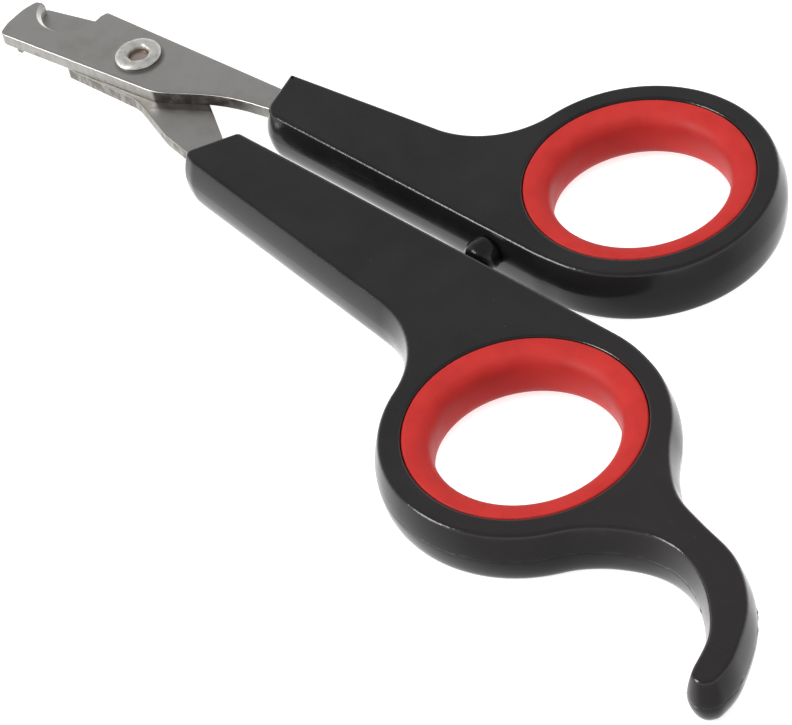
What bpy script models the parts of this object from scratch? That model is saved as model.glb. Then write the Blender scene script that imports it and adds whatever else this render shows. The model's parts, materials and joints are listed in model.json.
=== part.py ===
"""Pet nail scissors: two notched steel blades on a rivet, with moulded handles and soft finger rings.

Everything is drawn in the plan of the closed scissors. X runs from the tip to the handles, Y from the
finger handle to the thumb handle, and Z up. Plan positions are measured from the pivot axis, and
heights from the plane where the two blades meet. The whole model is then set down with the middle of
its underside at the world's origin.
"""

import math

import bmesh
import bpy
from mathutils import Vector

MM = 0.001

# Blades
BLADE_THICKNESS = 1.45 * MM
BLADE_GAP = 0.1 * MM
NOTCH_RADIUS = 3.6 * MM
NOTCH_CHAMFER = 0.4 * MM
TOP_NOTCH = Vector((-12.56, 1.28)) * MM
BOTTOM_NOTCH = Vector((-10.75, -5.1)) * MM
PIVOT_HOLE_RADIUS = 1.82 * MM
LOCK_HOLE_RADIUS = 1.1 * MM
TOP_LOCK_HOLES = [Vector((28.0, 4.1)) * MM, Vector((38.5, 4.3)) * MM]
BOTTOM_LOCK_HOLES = [Vector((28.5, -7.35)) * MM, Vector((39.0, -8.2)) * MM]

# Rivet
RIVET_SHANK_RADIUS = 1.75 * MM
RIVET_BORE_RADIUS = 1.2 * MM
RIVET_LIP_RADIUS = 2.6 * MM
RIVET_LIP_HEIGHT = 0.7 * MM
RIVET_HEAD_RADIUS = 2.9 * MM
RIVET_HEAD_HEIGHT = 0.75 * MM
RIVET_CLEARANCE = 0.12 * MM

# Handles
HANDLE_THICKNESS = 6.1 * MM
SEAM_HEIGHT = 0.2 * MM
TOP_SIDE = [(0.60, 2.55), (0.07, 0.24), (0.13, 0.16)]
BOTTOM_SIDE = [(0.14, 1.30), (0.20, 0.80), (0.30, 0.50), (0.30, 0.25), (0.20, 0.10)]
RING_RADIUS = 15.15 * MM
THUMB_RING = Vector((61.2, 15.2)) * MM
FINGER_RING = Vector((75.4, -18.1)) * MM
THUMB_BEND = Vector((60.0, -0.15)) * MM
THUMB_FILLET = 9.5 * MM
THUMB_FRONT_CORNER = 3.0 * MM
FINGER_BEND = Vector((76.5, -2.66)) * MM
FINGER_FILLET = 11.0 * MM
FRONT_CORNER = 1.4 * MM

# Soft finger rings
BORE_RADIUS = 12.25 * MM
INSERT_RADIUS = 12.1 * MM
INSERT_WAIST_RADIUS = 9.4 * MM
INSERT_HEIGHT = 6.0 * MM
INSERT_POWER = 3.5
RIB_HEIGHT = 1.6 * MM
RIB_DEPTH = 0.6 * MM

# Stop bumper
BUMPER_X = 53.4 * MM
BUMPER_RADIUS = 2.1 * MM
THUMB_SEAT_Y = -0.2 * MM
FINGER_SEAT_Y = -2.84 * MM
BUMPER_STEM_RADIUS = 1.2 * MM
BUMPER_STEM_LENGTH = 2.6 * MM

FIT_GAP = 0.15 * MM
ARC_STEP = 9.0


# --- Plan outlines ---------------------------------------------------------------------------------


def arc(centre, radius, start, end):
    """Points along an arc, with its angles in degrees."""
    count = max(2, math.ceil(abs(end - start) / ARC_STEP))
    angles = [math.radians(start + (end - start) * i / count) for i in range(count + 1)]
    return [centre + radius * Vector((math.cos(a), math.sin(a))) for a in angles]


def circle(centre, radius):
    return arc(centre, radius, 0, 360)[:-1]


def rounded(before, corner, after, radius):
    """The arc that rounds a corner between two straight edges."""
    to_before = (before - corner).normalized()
    to_after = (after - corner).normalized()
    half = to_before.angle(to_after) / 2
    centre = corner + (to_before + to_after).normalized() * (radius / math.sin(half))
    start = corner + to_before * (radius / math.tan(half)) - centre
    end = corner + to_after * (radius / math.tan(half)) - centre
    first = math.degrees(math.atan2(start.y, start.x))
    turn = math.degrees(math.atan2(start.cross(end), start.dot(end)))
    return arc(centre, radius, first, first + turn)


def rounded_polygon(corners):
    """A closed outline from corners given as x, y and rounding radius in millimetres."""
    places = [Vector((x, y)) * MM for x, y, _ in corners]
    points = []
    for i, (_, _, radius) in enumerate(corners):
        after = places[(i + 1) % len(places)]
        points += rounded(places[i - 1], places[i], after, radius * MM)
    return points


def smooth(points, steps=4):
    """A smooth curve through points, from the second one to the last but one."""
    curve = []
    for p0, p1, p2, p3 in zip(points, points[1:], points[2:], points[3:]):
        for i in range(steps):
            t = i / steps
            curve.append(
                p1
                + (p2 - p0) * (t / 2)
                + (2 * p0 - 5 * p1 + 4 * p2 - p3) * (t**2 / 2)
                + (3 * p1 - p0 - 3 * p2 + p3) * (t**3 / 2)
            )
    return curve + [points[-2]]


def grown(points, distance):
    """A counter-clockwise outline moved outwards by a distance."""
    result = []
    for i, point in enumerate(points):
        along_in = (point - points[i - 1]).normalized()
        along_out = (points[(i + 1) % len(points)] - point).normalized()
        normal_in = Vector((along_in.y, -along_in.x))
        normal_out = Vector((along_out.y, -along_out.x))
        middle = (normal_in + normal_out).normalized()
        result.append(point + middle * (distance / middle.dot(normal_in)))
    return result


def ring_fillet(edge_start, edge_end, ring_centre, outward, radius):
    """The concave arc from a shank's straight outer edge onto its ring, and where it meets the ring."""
    along = (edge_end - edge_start).normalized()
    start = edge_start + outward * radius
    to_start = start - ring_centre
    reach = RING_RADIUS + radius
    half_b = to_start.dot(along)
    distance = -half_b - math.sqrt(half_b**2 - to_start.length_squared + reach**2)
    centre = start + along * distance
    first = math.degrees(math.atan2(-outward.y, -outward.x))
    to_ring = ring_centre - centre
    turn = math.degrees(math.atan2((-outward).cross(to_ring), (-outward).dot(to_ring)))
    ring_angle = math.degrees(math.atan2(-to_ring.y, -to_ring.x))
    return arc(centre, radius, first, first + turn), ring_angle


def tangent_angle(ring_centre, bend, turn):
    """Where the line from a bend touches a ring, on one side (turn 1) or the other (turn -1)."""
    away = bend - ring_centre
    swing = math.degrees(math.acos(RING_RADIUS / away.length))
    return math.degrees(math.atan2(away.y, away.x)) + turn * swing


TOP_BLADE_OUTLINE = [
    (-16.45, -6.4, 0.8),
    (6.2, -3.45, 6.0),
    (13.5, 0.75, 22.0),
    (21.3, 2.35, 4.0),
    (46.0, 2.5, 1.5),
    (46.0, 6.0, 1.5),
    (20.8, 5.3, 6.0),
    (-8.5, 3.17, 0.4),
    (-8.9, 1.28, 0.1),
    (-16.15, 0.15, 0.1),
    (-17.05, -0.2, 0.5),
    (-17.35, -2.0, 4.0),
    (-17.1, -4.6, 4.0),
]

BOTTOM_BLADE_OUTLINE = [
    (-16.4, -4.2, 1.0),
    (-15.5, -5.4, 0.4),
    (-14.2, -5.3, 0.1),
    (-7.3, -3.7, 0.1),
    (-6.9, -5.1, 0.4),
    (4.1, -4.4, 5.0),
    (11.1, -6.65, 8.0),
    (21.5, -8.2, 5.0),
    (46.0, -10.5, 1.5),
    (46.0, -7.0, 1.5),
    (22.5, -5.3, 3.0),
    (18.6, -4.4, 3.0),
    (5.2, 3.45, 3.0),
    (-7.5, 3.05, 3.0),
    (-16.7, 0.6, 0.9),
    (-16.8, -1.8, 3.0),
]


def thumb_handle_outline():
    """Front end, inner edge with a slight bend, ring, and fillet back to the straight outer edge."""
    front_inner = Vector((19.97, -0.45)) * MM
    front_outer = Vector((17.8, 6.87)) * MM
    outer_edge = Vector((38.2, 9.57)) * MM
    along = (outer_edge - front_outer).normalized()
    side = Vector((-along.y, along.x))
    fillet, ring_angle = ring_fillet(front_outer, outer_edge, THUMB_RING, side, THUMB_FILLET)
    ring = arc(THUMB_RING, RING_RADIUS, tangent_angle(THUMB_RING, THUMB_BEND, 1), ring_angle)
    points = rounded(front_outer, front_inner, THUMB_BEND, THUMB_FRONT_CORNER)
    points += rounded(front_inner, THUMB_BEND, ring[0], RING_RADIUS)
    points += ring + list(reversed(fillet))[1:]
    points += rounded(outer_edge, front_outer, front_inner, FRONT_CORNER)
    return points


def finger_rest_outline():
    """The tail that curls from the ring, along its back, round its end and up its inner side."""
    back = [(88.52, -10.53), (90.8, -13.2), (93.9, -15.7), (97.9, -16.95), (103.4, -18.5)]
    back += [(108.2, -22.4), (111.2, -27.9), (111.75, -31.2), (111.2, -32.6)]
    end = [(110.1, -33.25), (108.75, -33.0), (107.95, -32.0)]
    inner = [(106.35, -27.8), (102.9, -24.25), (99.2, -22.4), (95.4, -22.2), (91.3, -23.8), (88.2, -26.2)]
    return [Vector(point) * MM for point in back + end + inner]


def finger_handle_outline():
    """The mirror arrangement of the thumb handle, with the finger rest beyond its ring."""
    front_inner = Vector((20.05, -3.1)) * MM
    front_outer = Vector((16.75, -9.7)) * MM
    outer_start = Vector((19.5, -10.72)) * MM
    outer_edge = Vector((51.12, -14.43)) * MM
    along = (outer_edge - outer_start).normalized()
    side = Vector((along.y, -along.x))
    fillet, ring_angle = ring_fillet(outer_start, outer_edge, FINGER_RING, side, FINGER_FILLET)
    rest = finger_rest_outline()
    first, last = rest[0] - FINGER_RING, rest[-1] - FINGER_RING
    upper_end = tangent_angle(FINGER_RING, FINGER_BEND, -1)
    upper_arc = arc(FINGER_RING, RING_RADIUS, math.degrees(math.atan2(first.y, first.x)), upper_end)
    lower_arc = arc(FINGER_RING, RING_RADIUS, ring_angle, math.degrees(math.atan2(last.y, last.x)))
    tail = smooth([lower_arc[-2], *reversed(rest), upper_arc[1]])
    points = rounded(front_inner, front_outer, outer_start, FRONT_CORNER)
    points += rounded(front_outer, outer_start, outer_edge, 3.0 * MM)
    points += fillet + lower_arc[1:-1] + tail + upper_arc[1:]
    points += rounded(upper_arc[-1], FINGER_BEND, front_inner, RING_RADIUS)
    points += rounded(FINGER_BEND, front_inner, front_outer, FRONT_CORNER)
    return points


# --- Making objects --------------------------------------------------------------------------------


def clear_scene():
    for obj in list(bpy.data.objects):
        bpy.data.objects.remove(obj)


def new_collection(name):
    collection = bpy.data.collections.new(name)
    bpy.context.scene.collection.children.link(collection)
    return collection


def new_empty(name, collection, parent=None):
    empty = bpy.data.objects.new(name, None)
    empty.parent = parent
    collection.objects.link(empty)
    return empty


def add_mesh(name, bm, collection, parent):
    """An object from a bmesh, with its faces pointing out and its flat edges kept sharp."""
    bmesh.ops.remove_doubles(bm, verts=bm.verts, dist=0.002 * MM)
    bmesh.ops.recalc_face_normals(bm, faces=bm.faces)
    mesh = bpy.data.meshes.new(name)
    bm.to_mesh(mesh)
    bm.free()
    mesh.shade_smooth()
    mesh.set_sharp_from_angle(angle=math.radians(35))
    obj = bpy.data.objects.new(name, mesh)
    obj.parent = parent
    collection.objects.link(obj)
    return obj


def add_plate(name, loops, low, high, collection, parent):
    """A flat plate from closed outlines, the first its edge and the others its holes."""
    curve = bpy.data.curves.new(name, "CURVE")
    curve.dimensions = "2D"
    curve.fill_mode = "BOTH"
    curve.extrude = (high - low) / 2
    for loop in loops:
        spline = curve.splines.new("POLY")
        spline.points.add(len(loop) - 1)
        spline.use_cyclic_u = True
        for point, place in zip(spline.points, loop):
            point.co = (place.x, place.y, 0, 1)
    guide = bpy.data.objects.new(name + "_guide", curve)
    collection.objects.link(guide)
    graph = bpy.context.evaluated_depsgraph_get()
    mesh = bpy.data.meshes.new_from_object(guide.evaluated_get(graph))
    bpy.data.objects.remove(guide)
    bm = bmesh.new()
    bm.from_mesh(mesh)
    bpy.data.meshes.remove(mesh)
    bmesh.ops.translate(bm, verts=bm.verts, vec=(0, 0, (low + high) / 2))
    return add_mesh(name, bm, collection, parent)


def add_turned(name, profile, steps, collection, parent):
    """A closed profile of radius and height turned about its own Z axis."""
    bm = bmesh.new()
    verts = [bm.verts.new((radius, 0, height)) for radius, height in profile]
    for first, second in zip(verts, verts[1:] + verts[:1]):
        bm.edges.new((first, second))
    bmesh.ops.spin(
        bm,
        geom=bm.verts[:] + bm.edges[:],
        cent=(0, 0, 0),
        axis=(0, 0, 1),
        angle=2 * math.pi,
        steps=steps,
        use_merge=True,
    )
    return add_mesh(name, bm, collection, parent)


def add_cylinder(name, radius, low, high, steps, collection, parent):
    bm = bmesh.new()
    bmesh.ops.create_cone(
        bm, cap_ends=True, segments=steps, radius1=radius, radius2=radius, depth=high - low
    )
    bmesh.ops.translate(bm, verts=bm.verts, vec=(0, 0, (low + high) / 2))
    return add_mesh(name, bm, collection, parent)


def cut(obj, cutter):
    """Takes a hidden cutter away from an object."""
    cutter.hide_render = True
    cutter.display_type = "WIRE"
    modifier = obj.modifiers.new(cutter.name, "BOOLEAN")
    modifier.operation = "DIFFERENCE"
    modifier.solver = "EXACT"
    modifier.object = cutter


def give_material(obj, name, colour, roughness, metallic=0.0):
    material = bpy.data.materials.get(name)
    if material is None:
        material = bpy.data.materials.new(name)
        material.use_nodes = True
        shader = material.node_tree.nodes["Principled BSDF"]
        shader.inputs["Base Color"].default_value = (*colour, 1)
        shader.inputs["Roughness"].default_value = roughness
        shader.inputs["Metallic"].default_value = metallic
    obj.data.materials.clear()
    obj.data.materials.append(material)


def make_steel(obj):
    give_material(obj, "satin_steel", (0.42, 0.41, 0.40), 0.42, 1.0)


def make_black_plastic(obj):
    give_material(obj, "black_plastic", (0.02, 0.02, 0.022), 0.45)


def make_red_rubber(obj):
    give_material(obj, "red_rubber", (0.60, 0.03, 0.025), 0.6)


def make_black_rubber(obj):
    give_material(obj, "black_rubber", (0.012, 0.012, 0.013), 0.7)


# --- Sub-parts -------------------------------------------------------------------------------------


def make_notch_cutter(name, centre, facing, cutters, body):
    """A half-round notch's cutter, wider at the blade's outer face, where the notch is ground."""
    outer_face = (BLADE_GAP / 2 + BLADE_THICKNESS) * facing
    chamfer_start = outer_face - NOTCH_CHAMFER * facing
    flare = NOTCH_RADIUS + NOTCH_CHAMFER
    profile = [
        (0, -MM * facing),
        (NOTCH_RADIUS, -MM * facing),
        (NOTCH_RADIUS, chamfer_start),
        (flare, outer_face),
        (flare, outer_face + MM * facing),
        (0, outer_face + MM * facing),
    ]
    cutter = add_turned(name, profile, 48, cutters, body)
    cutter.location = (centre.x, centre.y, 0)
    return cutter


def make_blade(name, outline, lock_holes, notch, facing, parts, cutters, body):
    """A stamped blade with its tang. It lies above the meeting plane, or below it if facing is -1."""
    inner = BLADE_GAP / 2 * facing
    outer = (BLADE_GAP / 2 + BLADE_THICKNESS) * facing
    loops = [rounded_polygon(outline), circle(Vector((0, 0)), PIVOT_HOLE_RADIUS)]
    loops += [circle(hole, LOCK_HOLE_RADIUS) for hole in lock_holes]
    blade = add_plate(name, loops, min(inner, outer), max(inner, outer), parts, body)
    cut(blade, make_notch_cutter(name + "_notch", notch, facing, cutters, body))
    make_steel(blade)
    return blade


def make_rivet(parts, body):
    """A semi-tubular rivet: a low domed head below, a bored shank, and a lip rolled over on top."""
    plate_top = BLADE_GAP / 2 + BLADE_THICKNESS
    head_top = -plate_top - RIVET_CLEARANCE
    lip_low = plate_top + RIVET_CLEARANCE
    lip_middle = (RIVET_BORE_RADIUS + RIVET_LIP_RADIUS) / 2
    lip_half = (RIVET_LIP_RADIUS - RIVET_BORE_RADIUS) / 2
    head_arc = [math.radians(90 * i / 5) for i in range(6)]
    lip_arc = [math.radians(180 * i / 10) for i in range(11)]
    profile = [
        (RIVET_HEAD_RADIUS * math.sin(a), head_top - RIVET_HEAD_HEIGHT * (0.45 + 0.55 * math.cos(a)))
        for a in head_arc
    ]
    profile += [(RIVET_HEAD_RADIUS, head_top), (RIVET_SHANK_RADIUS, head_top)]
    profile += [(RIVET_SHANK_RADIUS, lip_low)]
    profile += [
        (lip_middle + lip_half * math.cos(a), lip_low + RIVET_LIP_HEIGHT * (0.3 + 0.7 * math.sin(a)))
        for a in lip_arc
    ]
    profile[-11:-11] = [(RIVET_LIP_RADIUS - 0.15 * MM, lip_low)]
    profile += [(RIVET_BORE_RADIUS, -plate_top / 2), (0, -plate_top / 2 - 0.4 * MM)]
    rivet = add_turned("pivot_rivet", profile, 32, parts, body)
    make_steel(rivet)
    return rivet


def handle_mesh(outline):
    """Both halves of a moulding: sides that lean in from a seam at mid-height, with rounded edges."""
    bm = bmesh.new()
    low_face = bm.faces.new([bm.verts.new((p.x, p.y, -SEAM_HEIGHT / 2)) for p in outline])
    raised = bmesh.ops.extrude_face_region(bm, geom=[low_face], use_keep_orig=True)["geom"]
    raised_verts = [item for item in raised if isinstance(item, bmesh.types.BMVert)]
    high_face = next(item for item in raised if isinstance(item, bmesh.types.BMFace))
    bmesh.ops.translate(bm, verts=raised_verts, vec=(0, 0, SEAM_HEIGHT))
    bmesh.ops.recalc_face_normals(bm, faces=bm.faces)
    for face, side in ((high_face, TOP_SIDE), (low_face, BOTTOM_SIDE)):
        for inward, away in side:
            bmesh.ops.inset_region(
                bm, faces=[face], thickness=inward * MM, depth=away * MM, use_even_offset=True
            )
    return bm


def make_bore_cutter(name, centre, cutters, body):
    """The hole through a handle's ring, with the groove that holds the soft ring's rib."""
    reach = HANDLE_THICKNESS
    groove = BORE_RADIUS + RIB_DEPTH
    groove_half = RIB_HEIGHT / 2 + FIT_GAP
    profile = [
        (0, -reach),
        (BORE_RADIUS, -reach),
        (BORE_RADIUS, -groove_half - RIB_DEPTH),
        (groove, -groove_half),
        (groove, groove_half),
        (BORE_RADIUS, groove_half + RIB_DEPTH),
        (BORE_RADIUS, reach),
        (0, reach),
    ]
    cutter = add_turned(name, profile, 48, cutters, body)
    cutter.location = (centre.x, centre.y, 0)
    return cutter


def make_tang_pocket_cutter(name, outline, lock_holes, facing, cutters, body):
    """The space that a blade's tang fills, but for the plastic that grew through its holes."""
    inner = (BLADE_GAP / 2 - FIT_GAP) * facing
    outer = (BLADE_GAP / 2 + BLADE_THICKNESS + FIT_GAP) * facing
    loops = [grown(rounded_polygon(outline), FIT_GAP)]
    loops += [circle(hole, LOCK_HOLE_RADIUS - FIT_GAP) for hole in lock_holes]
    return add_plate(name, loops, min(inner, outer), max(inner, outer), cutters, body)


def make_handle(name, outline, ring_centre, pocket, parts, cutters, body):
    bm = handle_mesh(outline)
    handle = add_mesh(name, bm, parts, body)
    cut(handle, make_bore_cutter(name + "_bore", ring_centre, cutters, body))
    cut(handle, pocket)
    make_black_plastic(handle)
    return handle


def make_bumper_hole_cutter(cutters, body):
    """The blind hole for the bumper's stem, in the thumb handle's inner side."""
    depth = BUMPER_STEM_LENGTH + FIT_GAP
    cutter = add_cylinder(
        "bumper_hole", BUMPER_STEM_RADIUS + FIT_GAP, -depth, MM, 24, cutters, body
    )
    cutter.location = (BUMPER_X, THUMB_SEAT_Y, 0)
    cutter.rotation_euler = (math.radians(90), 0, 0)
    return cutter


def make_bumper(parts, body):
    """A rounded peg that stands on the thumb handle's inner side and meets the finger handle."""
    length = THUMB_SEAT_Y - FINGER_SEAT_Y - 2 * FIT_GAP
    rim = length - 0.9 * MM
    dome = [math.radians(90 * i / 4) for i in range(5)]
    profile = [
        (0, -BUMPER_STEM_LENGTH),
        (BUMPER_STEM_RADIUS, -BUMPER_STEM_LENGTH),
        (BUMPER_STEM_RADIUS, 0),
        (BUMPER_RADIUS, 0),
    ]
    profile += [
        (BUMPER_RADIUS - 0.9 * MM * (1 - math.cos(a)), rim + 0.9 * MM * math.sin(a)) for a in dome
    ]
    profile += [(0, length)]
    bumper = add_turned("stop_bumper", profile, 24, parts, body)
    bumper.location = (BUMPER_X, THUMB_SEAT_Y - FIT_GAP, 0)
    bumper.rotation_euler = (math.radians(90), 0, 0)
    make_black_rubber(bumper)
    return bumper


def make_ring_insert(name, centre, parts, body):
    """A soft ring, waisted inside along half a superellipse, with a rib round its outside."""
    half = INSERT_HEIGHT / 2
    swell = INSERT_RADIUS - INSERT_WAIST_RADIUS
    steps = 10
    profile = []
    for i in range(steps + 1):
        angle = math.pi * i / steps - math.pi / 2
        across = abs(math.cos(angle)) ** (2 / INSERT_POWER)
        up = math.copysign(abs(math.sin(angle)) ** (2 / INSERT_POWER), angle)
        profile.append((INSERT_RADIUS - swell * across, half * up))
    rib = RIB_HEIGHT / 2
    profile += [
        (INSERT_RADIUS, rib + RIB_DEPTH),
        (INSERT_RADIUS + RIB_DEPTH, rib),
        (INSERT_RADIUS + RIB_DEPTH, -rib),
        (INSERT_RADIUS, -rib - RIB_DEPTH),
    ]
    insert = add_turned(name, profile, 48, parts, body)
    insert.location = (centre.x, centre.y, 0)
    make_red_rubber(insert)
    return insert


def set_down(root, parts):
    """Moves the whole model so that the middle of its underside is at the origin."""
    bpy.context.view_layer.update()
    graph = bpy.context.evaluated_depsgraph_get()
    corners = []
    for obj in parts.objects:
        if obj.type == "MESH":
            evaluated = obj.evaluated_get(graph)
            corners += [evaluated.matrix_world @ v.co for v in evaluated.data.vertices]
    low = [min(c[axis] for c in corners) for axis in range(3)]
    high = [max(c[axis] for c in corners) for axis in range(3)]
    root.location = (-(low[0] + high[0]) / 2, -(low[1] + high[1]) / 2, -low[2])


def main():
    clear_scene()
    parts = new_collection("pet_nail_scissors")
    cutters = new_collection("cutters")
    root = new_empty("scissors", parts)
    finger_body = new_empty("finger_body", parts, root)
    thumb_body = new_empty("thumb_body", parts, root)

    make_blade(
        "top_blade", TOP_BLADE_OUTLINE, TOP_LOCK_HOLES, TOP_NOTCH, 1, parts, cutters, thumb_body
    )
    make_blade(
        "bottom_blade", BOTTOM_BLADE_OUTLINE, BOTTOM_LOCK_HOLES, BOTTOM_NOTCH, -1, parts, cutters, finger_body
    )
    make_rivet(parts, finger_body)

    top_pocket = make_tang_pocket_cutter(
        "top_tang_pocket", TOP_BLADE_OUTLINE, TOP_LOCK_HOLES, 1, cutters, thumb_body
    )
    bottom_pocket = make_tang_pocket_cutter(
        "bottom_tang_pocket", BOTTOM_BLADE_OUTLINE, BOTTOM_LOCK_HOLES, -1, cutters, finger_body
    )
    thumb_handle = make_handle(
        "thumb_handle", thumb_handle_outline(), THUMB_RING, top_pocket, parts, cutters, thumb_body
    )
    make_handle(
        "finger_handle", finger_handle_outline(), FINGER_RING, bottom_pocket, parts, cutters, finger_body
    )
    make_ring_insert("thumb_ring_insert", THUMB_RING, parts, thumb_body)
    make_ring_insert("finger_ring_insert", FINGER_RING, parts, finger_body)

    cut(thumb_handle, make_bumper_hole_cutter(cutters, thumb_body))
    make_bumper(parts, thumb_body)
    set_down(root, parts)


main()
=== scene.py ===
"""How the pet nail scissors look: finely modelled pieces for every part of the frame, and a bright studio.

Plan positions are in millimetres from the pivot, with X from the tip to the handles and Y from the
finger handle to the thumb handle. Heights are in millimetres from the plane where the blades meet.
"""

import json
import math

import bmesh
import bpy
import numpy as np
from mathutils import Matrix, Quaternion, Vector, noise


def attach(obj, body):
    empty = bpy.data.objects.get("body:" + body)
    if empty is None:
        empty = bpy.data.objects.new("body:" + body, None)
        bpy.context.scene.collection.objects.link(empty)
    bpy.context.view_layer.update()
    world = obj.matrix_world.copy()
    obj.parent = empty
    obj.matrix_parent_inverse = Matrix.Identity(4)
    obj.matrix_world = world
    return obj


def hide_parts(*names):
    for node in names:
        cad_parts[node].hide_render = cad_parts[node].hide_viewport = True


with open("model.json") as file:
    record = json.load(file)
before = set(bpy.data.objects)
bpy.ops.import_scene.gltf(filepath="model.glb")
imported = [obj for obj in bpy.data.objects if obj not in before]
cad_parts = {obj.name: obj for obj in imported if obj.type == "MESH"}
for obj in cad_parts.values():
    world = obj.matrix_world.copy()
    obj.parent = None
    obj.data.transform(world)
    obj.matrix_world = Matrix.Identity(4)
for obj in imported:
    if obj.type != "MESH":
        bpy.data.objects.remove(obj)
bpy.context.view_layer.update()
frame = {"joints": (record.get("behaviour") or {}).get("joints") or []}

PIVOT = Vector(frame["joints"][0]["pos_m"])
MM = 0.001

# Bends of more degrees than this are shaded as edges
SHARP_ANGLE = 35
MOULDING_SHARP_ANGLE = 20

# Blades: heights of a plate's two faces, rounding of its edges, and the top blade's lower edge
PLATE_INNER = 0.015
PLATE_OUTER = 1.50
PLATE_EDGE = 0.10
PLATE_SPACING = 0.2
TOP_HEEL = (-16.45, -6.4)
TOP_BEND = (6.2, -3.45)
TOP_WAIST = (13.5, 0.75)
NOTCH_RADIUS = 3.6
NOTCH_BEVEL = 0.45
TOP_NOTCH = (-12.56, 1.28)
BOTTOM_NOTCH = (-10.75, -5.1)
PIVOT_HOLE_RADIUS = 1.82

# Rivet: its shank, the rolled lip on top and the low head underneath
RIVET_CENTRE = (0.18, -0.05)
RIVET_RADIUS = 1.75
RIVET_LIP_RADIUS = 1.90
RIVET_LIP_Z = 1.66
RIVET_LIP_HALF_SIZE = (0.71, 0.41)
RIVET_HEAD_RADIUS = 2.88
RIVET_HEAD_TOP = -1.62
RIVET_HEAD_RIM = -1.75
RIVET_HEAD_DOME = 0.6
# Centre of the painted shadow beside the rivet's lip
RIVET_SHADOW_CENTRE = (0.66, -0.32)

# Handles: outlines, leaning sides, parting line and flash, and the rings' bores
HALF_HEIGHT = 3.05
MOULDING_SPACING = 0.28
LAND_BORDER = 0.2
BETWEEN_HANDLES_Y = -2.0
RING_RADIUS = 15.15
THUMB_RING = Vector((61.2, 15.2))
FINGER_RING = Vector((75.4, -18.1))
THUMB_FRONT = (Vector((19.97, -0.45)), Vector((17.62, 6.9)))
THUMB_BEND = Vector((60.0, -0.15))
THUMB_FILLET = 9.5
THUMB_FRONT_CORNERS = (3.0, 0.9)
FINGER_FRONT = (Vector((16.75, -9.7)), Vector((20.05, -3.1)))
FINGER_BEND = Vector((76.5, -2.66))
FINGER_FILLET = 11.0
FINGER_FRONT_CORNER = 1.4
FRONT_UNDERCUT = 2.9
UNDERCUT_POWER = 1.5
LEAN = 0.72
LEAN_POWER = 1.5
LOWER_ROUND = 1.1
TOP_EDGE = 0.48
PARTING_START_X = 52.0
PARTING_DEPTH = 0.10
THUMB_PARTING_DEPTH = 0.01
FLASH = [(103.0, -24.2), (107.4, -21.5), (108.5, -22.9), (111.2, -28.6), (108.1, -32.3), (109.0, -33.1)]
BORE_RADIUS = 12.2
BORE_EDGE = 0.30
POCKET_SPACING = 0.4
POCKET_CLEARANCE = 0.05

# Soft finger rings
INSERT_RADIUS = 12.15
INSERT_WAIST_RADIUS = 9.25
INSERT_HALF_HEIGHT = 3.0
INSERT_POWER = 2.9
INSERT_LIP = 0.24

# Stop bumper
BUMPER_X = 53.6
BUMPER_Z = 0.6
BUMPER_LENGTH = 2.55
BUMPER_RADIUS = 1.9
BUMPER_DOME = 1.5
BUMPER_SEAT_Y = -0.22

# Colours
PLASTIC_DARK = (0.0082, 0.0078, 0.0082)
PLASTIC_PALE = (0.0116, 0.0108, 0.0112)
PLASTIC_TOWARDS_REST = (0.0165, 0.0135, 0.0142)
PLASTIC_DUST = (0.09, 0.085, 0.08)
PLASTIC_SEAM_SHADE = (0.0015, 0.0015, 0.0015)
STEEL_CLEAN = (0.66, 0.645, 0.625)
STEEL_STAINED = (0.50, 0.47, 0.43)
STEEL_GRAIN = (0.55, 0.54, 0.52)
SHEARED_DARK = (0.38, 0.37, 0.345)
SHEARED_PALE = (0.64, 0.63, 0.595)
SHEARED_BLOTCH = (0.24, 0.20, 0.14)
# Painted shade on the bottom blade's sides
SHEARED_SHADED = (0.21, 0.195, 0.17)
STEEL_PIT = (0.13, 0.12, 0.10)
# Brownish dark of the painted shade beside the rivet and where the plates part
PLATE_SHADE = (0.045, 0.034, 0.031)
RIVET_PALE = (0.66, 0.65, 0.62)
RIVET_DULL = (0.50, 0.475, 0.44)
RIVET_HOLE_WALL = (0.17, 0.125, 0.09)
RIVET_HOLE_BOTTOM = (0.50, 0.40, 0.38)
RED_DEEP = (0.39, 0.014, 0.011)
RED_BRIGHT = (0.44, 0.019, 0.015)
RED_PAINTED_LIGHT = (0.60, 0.034, 0.030)
RUBBER_DARK = (0.004, 0.004, 0.004)
RUBBER_PALE = (0.009, 0.009, 0.009)
FLOOR_DARK = (0.60, 0.60, 0.60)
FLOOR_PALE = (0.62, 0.62, 0.62)

# Camera
CAMERA_TARGET = Vector((56.5, -17.25, 0.0))
CAMERA_BACK = (0.7934, -0.6088)
CAMERA_ELEVATION = 44.16
CAMERA_ROLL = -12.38
CAMERA_DISTANCE = 0.3687
CAMERA_LENS = 166.4
CAMERA_SENSOR = 36

# Brightness of the surround: from the horizon, at 0, up to overhead, at 1
SKY = [(0.0, 1.7), (0.09, 1.2), (0.18, 0.85), (0.5, 0.42), (0.8, 0.25), (1.0, 0.2)]
# and below the horizon, beyond the object and on the camera's side
GROUND_FAR = 1.5
GROUND_NEAR = 0.46


# --- Plan outlines ---------------------------------------------------------------------------------


def arc(centre, radius, start, end):
    """Points along an arc, one for each degree."""
    count = max(2, math.ceil(abs(end - start)))
    angles = [math.radians(start + (end - start) * i / count) for i in range(count + 1)]
    return [centre + radius * Vector((math.cos(a), math.sin(a))) for a in angles]


def right_of(start, end):
    """The direction at right angles to a line, on its right."""
    along = (Vector(end) - Vector(start)).normalized()
    return Vector((along.y, -along.x))


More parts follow.
